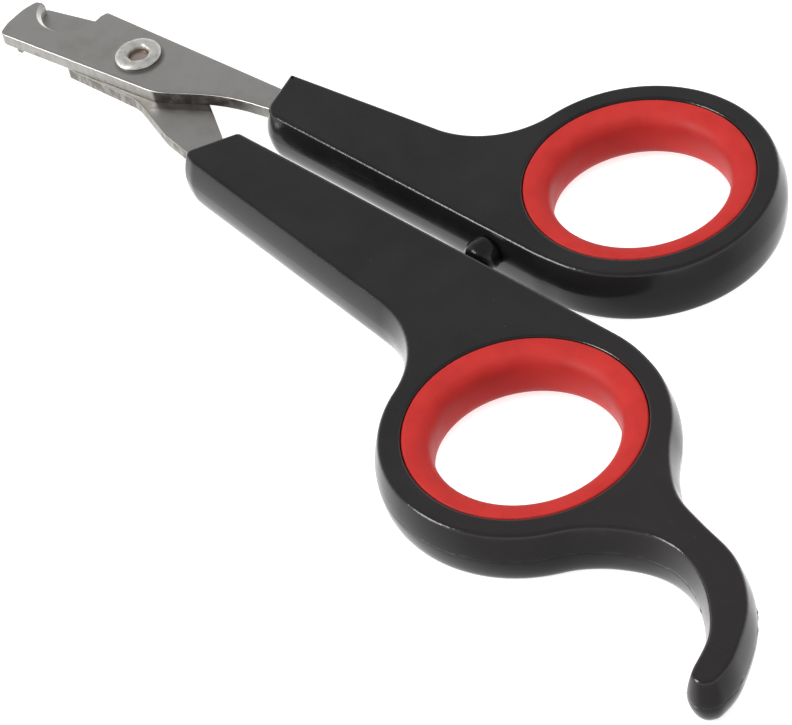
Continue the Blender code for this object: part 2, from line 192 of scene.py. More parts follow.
def rounded(before, corner, after, radius):
    """The arc that rounds a corner between two straight edges."""
    to_before = (before - corner).normalized()
    to_after = (after - corner).normalized()
    half = to_before.angle(to_after) / 2
    centre = corner + (to_before + to_after).normalized() * (radius / math.sin(half))
    start = corner + to_before * (radius / math.tan(half)) - centre
    end = corner + to_after * (radius / math.tan(half)) - centre
    first = math.degrees(math.atan2(start.y, start.x))
    turn = math.degrees(math.atan2(start.cross(end), start.dot(end)))
    return arc(centre, radius, first, first + turn)


def rounded_polygon(corners):
    """A closed outline from corners given as x, y and rounding radius."""
    places = [Vector((x, y)) for x, y, _ in corners]
    points = []
    for i, (_, _, radius) in enumerate(corners):
        after = places[(i + 1) % len(places)]
        points += rounded(places[i - 1], places[i], after, radius)
    return points


def smooth(points, steps=24):
    """A smooth curve through points, from the second one to the last but one."""
    curve = []
    for p0, p1, p2, p3 in zip(points, points[1:], points[2:], points[3:]):
        for i in range(steps):
            t = i / steps
            curve.append(
                p1
                + (p2 - p0) * (t / 2)
                + (2 * p0 - 5 * p1 + 4 * p2 - p3) * (t**2 / 2)
                + (3 * p1 - p0 - 3 * p2 + p3) * (t**3 / 2)
            )
    return curve + [points[-2]]


def evenly(points, spacing):
    """A closed outline as an array of evenly spaced points."""
    closed = np.array([*points, points[0]])
    steps = np.linalg.norm(np.diff(closed, axis=0), axis=1)
    along = np.concatenate([[0], np.cumsum(steps)])
    count = round(along[-1] / spacing)
    stations = np.arange(count) * along[-1] / count
    return np.column_stack([np.interp(stations, along, closed[:, i]) for i in (0, 1)])


def outward(loop):
    """The outward directions of a counter-clockwise outline, eased over neighbouring points."""
    along = np.roll(loop, -1, axis=0) - np.roll(loop, 1, axis=0)
    normal = np.column_stack([along[:, 1], -along[:, 0]])
    normal = (np.roll(normal, 1, axis=0) + 2 * normal + np.roll(normal, -1, axis=0)) / 4
    return normal / np.linalg.norm(normal, axis=1)[:, None]


def ring_fillet(edge_start, edge_end, ring_centre, side, radius):
    """The concave arc from a shank's straight outer edge onto its ring, and where it meets the ring."""
    along = (edge_end - edge_start).normalized()
    start = edge_start + side * radius
    to_start = start - ring_centre
    reach = RING_RADIUS + radius
    half_b = to_start.dot(along)
    distance = -half_b - math.sqrt(half_b**2 - to_start.length_squared + reach**2)
    centre = start + along * distance
    first = math.degrees(math.atan2(-side.y, -side.x))
    to_ring = ring_centre - centre
    turn = math.degrees(math.atan2((-side).cross(to_ring), (-side).dot(to_ring)))
    ring_angle = math.degrees(math.atan2(-to_ring.y, -to_ring.x))
    return arc(centre, radius, first, first + turn), ring_angle


def tangent_angle(ring_centre, bend, turn):
    """Where the line from a bend touches a ring, on one side (turn 1) or the other (turn -1)."""
    away = bend - ring_centre
    swing = math.degrees(math.acos(RING_RADIUS / away.length))
    return math.degrees(math.atan2(away.y, away.x)) + turn * swing


TOP_BLADE_OUTLINE = [
    (*TOP_HEEL, 0.8),
    (*TOP_BEND, 6.0),
    (*TOP_WAIST, 22.0),
    (21.3, 2.35, 4.0),
    (46.0, 2.5, 1.5),
    (46.0, 6.0, 1.5),
    (20.8, 5.3, 6.0),
    (-8.5, 3.17, 0.4),
    (-8.9, 1.28, 0.1),
    (-16.15, 0.15, 0.1),
    (-17.05, -0.2, 0.5),
    (-17.35, -2.0, 4.0),
    (-17.1, -4.6, 4.0),
]

BOTTOM_BLADE_OUTLINE = [
    (-16.4, -4.2, 1.0),
    (-15.5, -5.4, 0.4),
    (-14.2, -5.3, 0.1),
    (-7.3, -3.7, 0.1),
    (-6.9, -5.1, 0.4),
    (4.1, -4.4, 5.0),
    (11.1, -6.65, 8.0),
    (21.5, -8.2, 5.0),
    (46.0, -10.5, 1.5),
    (46.0, -7.0, 1.5),
    (22.5, -5.3, 3.0),
    (18.6, -4.4, 3.0),
    (5.2, 3.45, 3.0),
    (-7.5, 3.05, 3.0),
    (-16.7, 0.6, 0.9),
    (-16.8, -1.8, 3.0),
]


def thumb_handle_outline():
    """From the front's inner corner, along the inner edge, round the ring and back along the outer edge."""
    front_inner, front_outer = THUMB_FRONT
    outer_edge = Vector((38.2, 9.57))
    side = -right_of(front_outer, outer_edge)
    fillet, ring_angle = ring_fillet(front_outer, outer_edge, THUMB_RING, side, THUMB_FILLET)
    ring = arc(THUMB_RING, RING_RADIUS, tangent_angle(THUMB_RING, THUMB_BEND, 1), ring_angle)
    points = rounded(front_outer, front_inner, THUMB_BEND, THUMB_FRONT_CORNERS[0])
    points += rounded(front_inner, THUMB_BEND, ring[0], RING_RADIUS)
    points += ring + list(reversed(fillet))[1:]
    points += rounded(outer_edge, front_outer, front_inner, THUMB_FRONT_CORNERS[1])
    return points


def finger_rest_outline():
    """The tail that curls from the ring, along its back, round its end and up its inner side."""
    back = [(88.52, -10.53), (90.8, -13.2), (93.9, -15.7), (97.9, -16.95), (103.4, -18.5)]
    back += [(108.2, -22.4), (111.2, -27.9), (111.75, -31.2), (111.2, -32.6)]
    end = [(110.1, -33.25), (108.75, -33.0), (107.95, -32.0)]
    inner = [(106.35, -27.8), (102.9, -24.25), (99.2, -22.4), (95.4, -22.2), (91.3, -23.8), (88.2, -26.2)]
    return [Vector(point) for point in back + end + inner]


def finger_handle_outline():
    """From the front, along the outer edge, round the ring and the finger rest, and along the inner edge."""
    front_outer, front_inner = FINGER_FRONT
    outer_start = Vector((19.5, -10.72))
    outer_edge = Vector((51.12, -14.43))
    side = right_of(outer_start, outer_edge)
    fillet, ring_angle = ring_fillet(outer_start, outer_edge, FINGER_RING, side, FINGER_FILLET)
    rest = finger_rest_outline()
    first, last = rest[0] - FINGER_RING, rest[-1] - FINGER_RING
    upper_end = tangent_angle(FINGER_RING, FINGER_BEND, -1)
    upper_arc = arc(FINGER_RING, RING_RADIUS, math.degrees(math.atan2(first.y, first.x)), upper_end)
    lower_arc = arc(FINGER_RING, RING_RADIUS, ring_angle, math.degrees(math.atan2(last.y, last.x)))
    tail = smooth([lower_arc[-9], *reversed(rest), upper_arc[8]])
    points = rounded(front_inner, front_outer, outer_start, FINGER_FRONT_CORNER)
    points += rounded(front_outer, outer_start, outer_edge, 3.0)
    points += fillet + lower_arc[1:-1] + tail + upper_arc[1:]
    points += rounded(upper_arc[-1], FINGER_BEND, front_inner, RING_RADIUS)
    points += rounded(FINGER_BEND, front_inner, front_outer, FINGER_FRONT_CORNER)
    return points


def eased(loop, start_x=72, end_x=105, rounds=14):
    """An outline with its bends softened where the finger rest grows from the ring."""
    share = ((loop[:, 0] > start_x) & (loop[:, 0] < end_x))[:, None] * 0.5
    for _ in range(rounds):
        neighbours = (np.roll(loop, 1, axis=0) + np.roll(loop, -1, axis=0)) / 2
        loop = loop + share * (neighbours - loop)
    return loop


# --- Making meshes ---------------------------------------------------------------------------------


def clamped(value):
    """value held between 0 and 1."""
    return max(0.0, min(1.0, value))


def place(x, y, z):
    """A place in the frame, in metres, from millimetres from the pivot."""
    return Vector((x, y, z)) * MM + PIVOT


def add_ring_of_verts(bm, loop, z):
    """A ring of vertices over a plan outline; z is one height or a height for each point."""
    heights = np.broadcast_to(z, len(loop))
    return [bm.verts.new(place(x, y, height)) for (x, y), height in zip(loop, heights)]


def add_wall(bm, rings):
    """Quads between successive rings that have the same number of vertices."""
    for low, high in zip(rings, rings[1:]):
        for i in range(len(low)):
            bm.faces.new((low[i - 1], low[i], high[i], high[i - 1]))


def add_land(bm, *rings):
    """A flat face inside the first ring, with the other rings as its holes."""
    edges = [bm.edges.get((ring[i - 1], ring[i])) for ring in rings for i in range(len(ring))]
    bmesh.ops.triangle_fill(bm, use_beauty=True, edges=edges)


def shade(mesh, sharp_angle):
    """Smooth shading, apart from bends sharper than an angle."""
    mesh.shade_smooth()
    mesh.set_sharp_from_angle(angle=math.radians(sharp_angle))


def finish_mesh(name, bm):
    """A new object from a mesh, with its faces turned outwards."""
    bmesh.ops.recalc_face_normals(bm, faces=bm.faces)
    mesh = bpy.data.meshes.new(name)
    bm.to_mesh(mesh)
    bm.free()
    shade(mesh, SHARP_ANGLE)
    obj = bpy.data.objects.new(name, mesh)
    bpy.context.scene.collection.objects.link(obj)
    return obj


def cut(obj, *cutters, sharp_angle=SHARP_ANGLE):
    """Takes cutters away from an object, and removes them."""
    for cutter in cutters:
        modifier = obj.modifiers.new(cutter.name, "BOOLEAN")
        modifier.operation = "DIFFERENCE"
        modifier.solver = "EXACT"
        modifier.object = cutter
    graph = bpy.context.evaluated_depsgraph_get()
    mesh = bpy.data.meshes.new_from_object(obj.evaluated_get(graph))
    obj.modifiers.clear()
    obj.data = mesh
    for cutter in cutters:
        bpy.data.objects.remove(cutter)
    shade(mesh, sharp_angle)


def turned(name, profile, centre=(0, 0), steps=128, wobble=None):
    """A profile of radius and height turned about a vertical axis, and closed if no end is on the axis.

    wobble takes the radius, height and angle of each point, and gives its new radius and height.
    """
    bm = bmesh.new()
    rings = []
    for radius, height in profile:
        if radius == 0:
            rings.append([bm.verts.new(place(*centre, height))])
            continue
        ring = []
        for i in range(steps):
            angle = 2 * math.pi * i / steps
            r, z = wobble(radius, height, angle) if wobble else (radius, height)
            x = centre[0] + r * math.cos(angle)
            y = centre[1] + r * math.sin(angle)
            ring.append(bm.verts.new(place(x, y, z)))
        rings.append(ring)
    for low, high in zip(rings, rings[1:]):
        join_rings(bm, low, high)
    if profile[0][0] and profile[-1][0]:
        join_rings(bm, rings[-1], rings[0])
    return finish_mesh(name, bm)


def join_rings(bm, low, high):
    """Quads between two rings, or triangles where one of them is a single point."""
    count = max(len(low), len(high))
    for i in range(count):
        corners = [low[(i - 1) % len(low)], low[i % len(low)], high[i % len(high)], high[(i - 1) % len(high)]]
        bm.faces.new(list(dict.fromkeys(corners)))


# --- Blades ----------------------------------------------------------------------------------------


def edge_rows():
    """Inset and height from a plate's outer face, over its side to its inner face, with rounded edges."""
    small = PLATE_EDGE / 3
    border = 0.25
    rows = [(PLATE_EDGE + border, PLATE_OUTER)]
    for i in range(5):
        a = math.radians(90 * i / 4)
        rows.append((PLATE_EDGE * (1 - math.sin(a)), PLATE_OUTER - PLATE_EDGE * (1 - math.cos(a))))
    for i in range(4):
        a = math.radians(90 * i / 3)
        rows.append((small * (1 - math.cos(a)), PLATE_INNER + small * (1 - math.sin(a))))
    return rows + [(small + border, PLATE_INNER)]


def make_plate(name, corners, facing):
    """A plate above (facing 1) or below (facing -1) the plane where the blades meet."""
    loop = evenly(rounded_polygon(corners), PLATE_SPACING)
    away = outward(loop)
    bm = bmesh.new()
    rings = [add_ring_of_verts(bm, loop - away * inset, z * facing) for inset, z in edge_rows()]
    add_wall(bm, rings)
    add_land(bm, rings[0])
    add_land(bm, rings[-1])
    return finish_mesh(name, bm)


def notch_cutter(centre, facing):
    """A half-round notch's cutter, flared where the notch is ground at the plate's outer face."""
    flare = NOTCH_RADIUS + NOTCH_BEVEL
    profile = [
        (0, -facing),
        (NOTCH_RADIUS, -facing),
        (NOTCH_RADIUS, (PLATE_OUTER - NOTCH_BEVEL) * facing),
        (flare, PLATE_OUTER * facing),
        (flare, (PLATE_OUTER + 1) * facing),
        (0, (PLATE_OUTER + 1) * facing),
    ]
    return turned("notch", profile, centre, 144)


def make_blade(name, corners, notch, facing):
    """A plate with its claw notch and the rivet's hole."""
    blade = make_plate(name, corners, facing)
    hole = turned("hole", [(0, -3), (PIVOT_HOLE_RADIUS, -3), (PIVOT_HOLE_RADIUS, 3), (0, 3)])
    cut(blade, notch_cutter(notch, facing), hole)
    return blade


# --- Rivet -----------------------------------------------------------------------------------------


def near_bearing(angle, degrees, width):
    """1 at a bearing, and falling away smoothly over a width in radians to either side of it."""
    return math.exp(-((math.remainder(angle - math.radians(degrees), 2 * math.pi) / width) ** 2))


def rivet_wobble(radius, height, angle):
    """The rolled lip bulges on one side and is flattened beside that, and its mouth is a rounded hexagon."""
    lip = clamped((height - 1.4) / 0.3)
    mouth = clamped((1.8 - radius) / 0.4) * lip
    rim = clamped((radius - 2.0) / 0.5) * lip
    uneven = noise.noise(Vector((1.6 * math.cos(angle), 1.6 * math.sin(angle), 0.5)))
    bulge = near_bearing(angle, -92, 0.45)
    flat = near_bearing(angle, -38, 0.50)
    hexagon = 0.05 * math.cos(6 * angle + 0.6)
    spread = 0.15 * bulge - 0.16 * flat + 0.08 * uneven - 0.04
    sag = 0.08 * bulge
    return radius + mouth * hexagon + rim * spread, height + 0.06 * lip * uneven - rim * sag


def make_rivet():
    """A semi-tubular rivet: its blind hole, rolled lip and shank, and the low domed head beneath."""
    profile = [(0, 1.05), (0.7, 1.06), (1.0, 1.14), (1.12, 1.28), (1.16, 1.45)]
    half_width, half_height = RIVET_LIP_HALF_SIZE
    for i in range(17):
        a = math.radians(180 - 195 * i / 16)
        profile.append((RIVET_LIP_RADIUS + half_width * math.cos(a), RIVET_LIP_Z + half_height * math.sin(a)))
    profile += [(2.45, 1.545), (RIVET_RADIUS, 1.54), (RIVET_RADIUS, RIVET_HEAD_TOP)]
    profile += [(2.7, RIVET_HEAD_TOP), (2.82, -1.66), (RIVET_HEAD_RADIUS, RIVET_HEAD_RIM)]
    for i in range(1, 8):
        a = math.radians(90 * i / 8)
        profile.append((RIVET_HEAD_RADIUS * math.cos(a), RIVET_HEAD_RIM - RIVET_HEAD_DOME * math.sin(a)))
    profile.append((0, RIVET_HEAD_RIM - RIVET_HEAD_DOME))
    return turned("rivet", profile, RIVET_CENTRE, wobble=rivet_wobble)


# --- Handles ---------------------------------------------------------------------------------------


def side_inset(z):
    """How far a moulding's side has leaned in at a height above its parting line."""
    return LEAN * (z / HALF_HEIGHT) ** LEAN_POWER


def top_rows():
    """Inset and height from a moulding's flat top, over its edge and down to the parting line."""
    lean = math.atan(LEAN * LEAN_POWER / HALF_HEIGHT)
    low_z = HALF_HEIGHT - TOP_EDGE * (1 - math.sin(lean))
    centre = side_inset(low_z) + TOP_EDGE * math.cos(lean)
    rows = [(centre + LAND_BORDER, HALF_HEIGHT)]
    for i in range(8):
        a = math.pi / 2 - (math.pi / 2 - lean) * i / 7
        rows.append((centre - TOP_EDGE * math.cos(a), HALF_HEIGHT - TOP_EDGE * (1 - math.sin(a))))
    parting_z = 0.1
    heights = [low_z * (1 - i / 8) + parting_z * i / 8 for i in range(1, 9)]
    return rows + [(side_inset(z), z) for z in heights]


def bottom_rows():
    """Inset and height from the parting line round the lower side to the flat underside."""
    rows = []
    for i in range(1, 21):
        a = math.radians(2 + 88 * i / 20)
        rows.append((LOWER_ROUND * (1 - math.cos(a)), -HALF_HEIGHT * math.sin(a)))
    rows.append((LOWER_ROUND + LAND_BORDER, -HALF_HEIGHT))
    return rows


def lower_rounding(loop):
    """How much the side is rounded below each point: least at the thumb ring, most at the rest's end."""
    towards_ring = np.clip((loop[:, 0] - 45) / 13, 0, 1)
    towards_end = np.clip((loop[:, 0] - 101) / 9, 0, 1)
    thumb_side = 1 - 0.55 * towards_ring
    finger_side = 0.75 + 0.95 * towards_end
    return np.where(loop[:, 1] > BETWEEN_HANDLES_Y, thumb_side, finger_side)[:, None]


def bore_rows():
    """Radius and height down the inside of a moulding's ring."""
    rows = [(BORE_RADIUS + BORE_EDGE + 0.12, HALF_HEIGHT)]
    for i in range(6):
        a = math.radians(90 * i / 5)
        radius = BORE_RADIUS + BORE_EDGE * (1 - math.sin(a))
        rows.append((radius, HALF_HEIGHT - BORE_EDGE * (1 - math.cos(a))))
    rows += [(radius, -height) for radius, height in reversed(rows)]
    return rows


def parting_line(loop):
    """How far the parting line is sunk: broken up, none along the shanks, hardly any on the thumb side."""
    depth = []
    for x, y in loop:
        spot = Vector((x * 0.35, y * 0.35, 4.0))
        broken = 0.6 + 0.8 * noise.noise(spot) + 0.3 * noise.noise(spot * 5)
        full_depth = PARTING_DEPTH if y < BETWEEN_HANDLES_Y else THUMB_PARTING_DEPTH
        depth.append(full_depth * max(0.0, broken) * clamped((x - PARTING_START_X) / 8))
    return np.array(depth)[:, None]


def flash(loop):
    """Ragged chips of flash left on the parting line in a few places round the finger rest."""
    height = []
    for x, y in loop:
        near = max(math.exp(-((x - spot_x) ** 2 + (y - spot_y) ** 2) / 0.7) for spot_x, spot_y in FLASH)
        height.append(near * max(0.0, 0.12 + 0.2 * noise.noise(Vector((x * 2.3, y * 2.3, 1.0)))))
    return np.array(height)[:, None]


def front_cutter(front_outer, front_inner):
    """What rounds the lower edge of a moulding's front end, drawn in distance from the front and height."""
    across = (front_inner - front_outer).normalized()
    inward = right_of(front_outer, front_inner)
    outside, below, back = -1.0, -HALF_HEIGHT - 1.0, FRONT_UNDERCUT + 0.5
    section = [(outside, below), (back, below), (back, -HALF_HEIGHT - 0.02)]
    for i in range(11):
        a = math.radians(90 * i / 10)
        depth = FRONT_UNDERCUT * (1 - math.sin(a) ** UNDERCUT_POWER)
        section.append((depth, -HALF_HEIGHT + FRONT_UNDERCUT * (1 - math.cos(a) ** UNDERCUT_POWER)))
    section.append((outside, section[-1][1]))
    bm = bmesh.new()
    ends = []
    for start in (front_outer - across * 2, front_inner + across * 2):
        ends.append([bm.verts.new(place(*(start + inward * depth), z)) for depth, z in section])
    add_wall(bm, ends)
    for end in ends:
        bm.faces.new(end)
    return finish_mesh("front_undercut", bm)


def make_moulding(name, outline, ring_centre, *cutters):
    """A handle: its flat top, leaning sides, parting line, rounded lower side and ring, less its cutters."""
    loop = eased(evenly(outline, MOULDING_SPACING))
    away = outward(loop)
    groove = parting_line(loop)
    fin = flash(loop)
    bm = bmesh.new()
    rings = [add_ring_of_verts(bm, loop - away * inset, z) for inset, z in top_rows()]
    for share, z in ((0.35, 0.05), (1.0, 0.0), (0.35, -0.05)):
        rings.append(add_ring_of_verts(bm, loop - away * (groove - fin) * share, z))
    lower = lower_rounding(loop)
    rings += [add_ring_of_verts(bm, loop - away * lower * inset, z) for inset, z in bottom_rows()]
    add_wall(bm, rings)
    bore = []
    for radius, z in bore_rows():
        circle = arc(ring_centre, radius, 0, 360)[:-1]
        bore.append(add_ring_of_verts(bm, circle, z))
    add_wall(bm, bore)
    add_land(bm, rings[0], bore[0])
    add_land(bm, rings[-1], bore[-1])
    moulding = finish_mesh(name, bm)
    cut(moulding, *cutters, sharp_angle=MOULDING_SHARP_ANGLE)
    return moulding


def tang_cutter(corners, facing):
    """A snug pocket round a blade's tang."""
    loop = evenly(rounded_polygon(corners), POCKET_SPACING)
    loop = loop + outward(loop) * POCKET_CLEARANCE
    bm = bmesh.new()
    heights = (PLATE_INNER - POCKET_CLEARANCE, PLATE_OUTER + POCKET_CLEARANCE)
    rings = [add_ring_of_verts(bm, loop, z * facing) for z in heights]
    add_wall(bm, rings)
    add_land(bm, rings[0])
    add_land(bm, rings[1])
    return finish_mesh("tang_pocket", bm)


# --- Soft pieces -----------------------------------------------------------------------------------


def make_grip_ring(name, centre):
    """A soft ring, waisted inside along half a superellipse, with small lips and a rounded rim."""
    swell = INSERT_RADIUS - INSERT_WAIST_RADIUS
    profile = []
    steps = 48
    for i in range(steps + 1):
        angle = math.pi * i / steps - math.pi / 2
        across = abs(math.cos(angle)) ** (2 / INSERT_POWER)
        up = math.copysign(abs(math.sin(angle)) ** (2 / INSERT_POWER), angle)
        profile.append((INSERT_RADIUS - swell * across, INSERT_HALF_HEIGHT * up))
    profile[0] = (INSERT_RADIUS - INSERT_LIP, -INSERT_HALF_HEIGHT)
    profile[-1] = (INSERT_RADIUS - INSERT_LIP, INSERT_HALF_HEIGHT)
    rim = [(0.12, 0.03), (0.035, 0.12), (0.0, 0.26)]
    profile += [(INSERT_RADIUS - inset, INSERT_HALF_HEIGHT - drop) for inset, drop in rim]
    profile += [(INSERT_RADIUS - inset, drop - INSERT_HALF_HEIGHT) for inset, drop in reversed(rim)]
    return turned(name, profile, centre, 192)


def make_bumper():
    """A soft round peg across the gap between the handles, its axis along Y."""
    profile = [(0, 0), (BUMPER_RADIUS - 0.15, 0), (BUMPER_RADIUS - 0.05, 0.08), (BUMPER_RADIUS, 0.25)]
    for i in range(13):
        a = math.radians(90 * i / 12)
        rim = BUMPER_RADIUS - BUMPER_DOME * (1 - math.cos(a))
        profile.append((rim, BUMPER_LENGTH - BUMPER_DOME * (1 - math.sin(a))))
    profile.append((0, BUMPER_LENGTH))
    bumper = turned("bumper_peg", profile, steps=64)
    to_pivot = Matrix.Translation(-PIVOT)
    turn = Matrix.Rotation(math.radians(90), 4, "X")
    back = Matrix.Translation(place(BUMPER_X, BUMPER_SEAT_Y, BUMPER_Z))
    bumper.data.transform(back @ turn @ to_pivot)
    return bumper


# --- Materials -------------------------------------------------------------------------------------


class Paint:
    """A material's node tree, with short calls for the nodes that it needs."""

    def __init__(self, name):
        self.material = bpy.data.materials.new(name)
        self.material.use_nodes = True
        self.tree = self.material.node_tree
        self.shader = self.tree.nodes["Principled BSDF"]
        self.position = self.add("ShaderNodeTexCoord").outputs["Object"]

    def add(self, kind, inputs=None, **settings):
        """A new node, with its settings and with values or links for its inputs."""
        node = self.tree.nodes.new(kind)
        for name, value in settings.items():
            setattr(node, name, value)
        for name, value in (inputs or {}).items():
            self.put(node.inputs[name], value)
        return node

    def put(self, socket, value):
        """Links a socket to another one, or sets it to a plain value."""
        if isinstance(value, bpy.types.NodeSocket):
            self.tree.links.new(value, socket)
        else:
            socket.default_value = value

    def noise(self, size, detail=3.0, stretch=(1, 1, 1), roughness=0.55):
        """Noise from 0 to 1 whose features are about size millimetres across."""
        scaled = self.add(
            "ShaderNodeMapping", {"Vector": self.position, "Scale": [s / (size * MM) for s in stretch]}
        )
        node = self.add(
            "ShaderNodeTexNoise",
            {"Vector": scaled.outputs[0], "Scale": 1.0, "Detail": detail, "Roughness": roughness},
        )
        return node.outputs["Fac"]

    def specks(self, spacing, radius):
        """1 in small round specks scattered about spacing millimetres apart, and 0 elsewhere."""
        node = self.add(
            "ShaderNodeTexVoronoi", {"Vector": self.position, "Scale": 1 / (spacing * MM), "Randomness": 1.0}
        )
        return self.between(node.outputs["Distance"], radius / spacing, 0.6 * radius / spacing)

    def between(self, value, low, high, to_low=0.0, to_high=1.0):
        """value carried smoothly from one range to another, and held at its ends."""
        node = self.add(
            "ShaderNodeMapRange",
            {"Value": value, "From Min": low, "From Max": high, "To Min": to_low, "To Max": to_high},
            interpolation_type="SMOOTHSTEP",
        )
        return node.outputs["Result"]

    def calc(self, operation, a, b=0.0):
        """What a Math node makes of one or two values."""
        node = self.add("ShaderNodeMath", operation=operation)
        self.put(node.inputs[0], a)
        self.put(node.inputs[1], b)
        return node.outputs[0]

    def product(self, first, *others):
        """Values multiplied together."""
        for other in others:
            first = self.calc("MULTIPLY", first, other)
        return first

    def colours(self, amount, first, second):
        """A mix that is the first colour where amount is 0, and the second where it is 1."""
        node = self.add("ShaderNodeMix", data_type="RGBA")
        self.put(node.inputs["Factor"], amount)
        for socket, value in zip((node.inputs[6], node.inputs[7]), (first, second)):
            self.put(socket, value if isinstance(value, bpy.types.NodeSocket) else (*value, 1))
        return node.outputs[2]

    def from_pivot(self, axis):
        """Millimetres from the pivot along one axis, given as 0 for X, 1 for Y or 2 for Z."""
        place_on_axis = self.add("ShaderNodeSeparateXYZ", {"Vector": self.position}).outputs[axis]
        return self.product(self.calc("SUBTRACT", place_on_axis, PIVOT[axis]), 1 / MM)

    def along(self):
        """Millimetres from the pivot towards the handles."""
        return self.from_pivot(0)

    def across(self):
        """Millimetres from the pivot towards the thumb handle."""
        return self.from_pivot(1)

    def height(self):
        """Millimetres above the plane where the blades meet."""
        return self.from_pivot(2)

    def plan_offset(self, x, y):
        """The step in metres to each place from a point in plan, which is given from the pivot."""
        offset = self.add("ShaderNodeVectorMath", operation="SUBTRACT")
        self.put(offset.inputs[0], self.position)
        self.put(offset.inputs[1], place(x, y, 0))
        return offset.outputs[0]

    def reach(self, x, y):
        """Millimetres in plan from a point, which is given from the pivot."""
        flat = self.add("ShaderNodeVectorMath", operation="MULTIPLY")
        self.put(flat.inputs[0], self.plan_offset(x, y))
        self.put(flat.inputs[1], (1 / MM, 1 / MM, 0.0))
        return self.add("ShaderNodeVectorMath", {0: flat.outputs[0]}, operation="LENGTH").outputs["Value"]

    def beyond(self, x, y, direction):
        """Millimetres in plan past a line through a point, in a direction at right angles to the line."""
        dot = self.add("ShaderNodeVectorMath", {0: self.plan_offset(x, y)}, operation="DOT_PRODUCT")
        self.put(dot.inputs[1], (direction[0] / MM, direction[1] / MM, 0.0))
        return dot.outputs["Value"]

    def tilt(self):
        """1 on level faces and 0 on upright ones."""
        normal = self.add("ShaderNodeNewGeometry").outputs["Normal"]
        z = self.add("ShaderNodeSeparateXYZ", {"Vector": normal}).outputs["Z"]
        return self.calc("ABSOLUTE", z)

    def sides(self):
        """1 on upright faces and 0 on level ones."""
        return self.between(self.tilt(), 0.65, 0.25)

    def relief(self, *layers):
        """Bumps from pairs of height map and depth in millimetres."""
        normal = None
        for heights, depth in layers:
            inputs = {"Height": heights, "Distance": depth * MM, "Strength": 1.0}
            if normal:
                inputs["Normal"] = normal
            normal = self.add("ShaderNodeBump", inputs).outputs[0]
        self.put(self.shader.inputs["Normal"], normal)

    def set(self, **values):
        """Values or links for the shader's own inputs, whose names have _ for a space."""
        for name, value in values.items():
            self.put(self.shader.inputs[name.replace("_", " ")], value)


def black_plastic():
    """Moulded plastic: satin faces, glossier sides and worn edges, soft sink marks, dust, and a parting line
    darkened with painted shade.
    """
    paint = Paint("black_plastic_fine")
    cloud = paint.noise(9.0, 3)
    dust = paint.specks(2.6, 0.07)
    tilt = paint.tilt()
    side = paint.between(tilt, 0.6, 0.4)
    edge = paint.product(paint.between(tilt, 0.40, 0.55), paint.between(tilt, 0.99, 0.93))
    # From the rings on, fainter near the finger rest's end, and hardly at all on the thumb side
    seam = paint.product(
        paint.between(paint.calc("ABSOLUTE", paint.height()), 0.13, 0.06),
        paint.between(paint.along(), 58.0, 64.0),
        paint.between(paint.along(), 103.0, 108.0, 1.0, 0.35),
        paint.between(paint.across(), -1.0, -3.0, 0.1, 1.0),
    )
    colour = paint.colours(paint.between(cloud, 0.3, 0.7), PLASTIC_DARK, PLASTIC_PALE)
    # Greyer towards the rings and the finger rest
    towards_rest = paint.between(paint.along(), 50.0, 100.0, 0.0, 0.75)
    colour = paint.colours(towards_rest, colour, PLASTIC_TOWARDS_REST)
    colour = paint.colours(paint.product(dust, 0.35), colour, PLASTIC_DUST)
    # Painted shade: the parting line is darkened, standing in for the shade in its groove
    colour = paint.colours(paint.product(seam, 0.8), colour, PLASTIC_SEAM_SHADE)
    rubbed = paint.between(paint.noise(4.0, 5), 0.35, 0.75, 0.26, 0.36)
    scratches = paint.between(paint.noise(0.9, 2, (0.05, 1.0, 1.0)), 0.62, 0.72, 0.0, 0.06)
    rough = paint.calc("ADD", rubbed, scratches)
    rough = paint.calc("SUBTRACT", rough, paint.product(side, 0.10))
    rough = paint.calc("SUBTRACT", rough, paint.product(edge, 0.14))
    rough = paint.calc("ADD", rough, paint.product(seam, 0.25))
    paint.set(Base_Color=colour, Roughness=rough, IOR=1.5)
    nicks = paint.product(paint.noise(0.5, 3), edge)
    paint.relief((paint.noise(12.0, 1), 0.05), (paint.noise(0.22, 2), 0.0035), (dust, 0.012), (nicks, 0.03))
    return paint.material


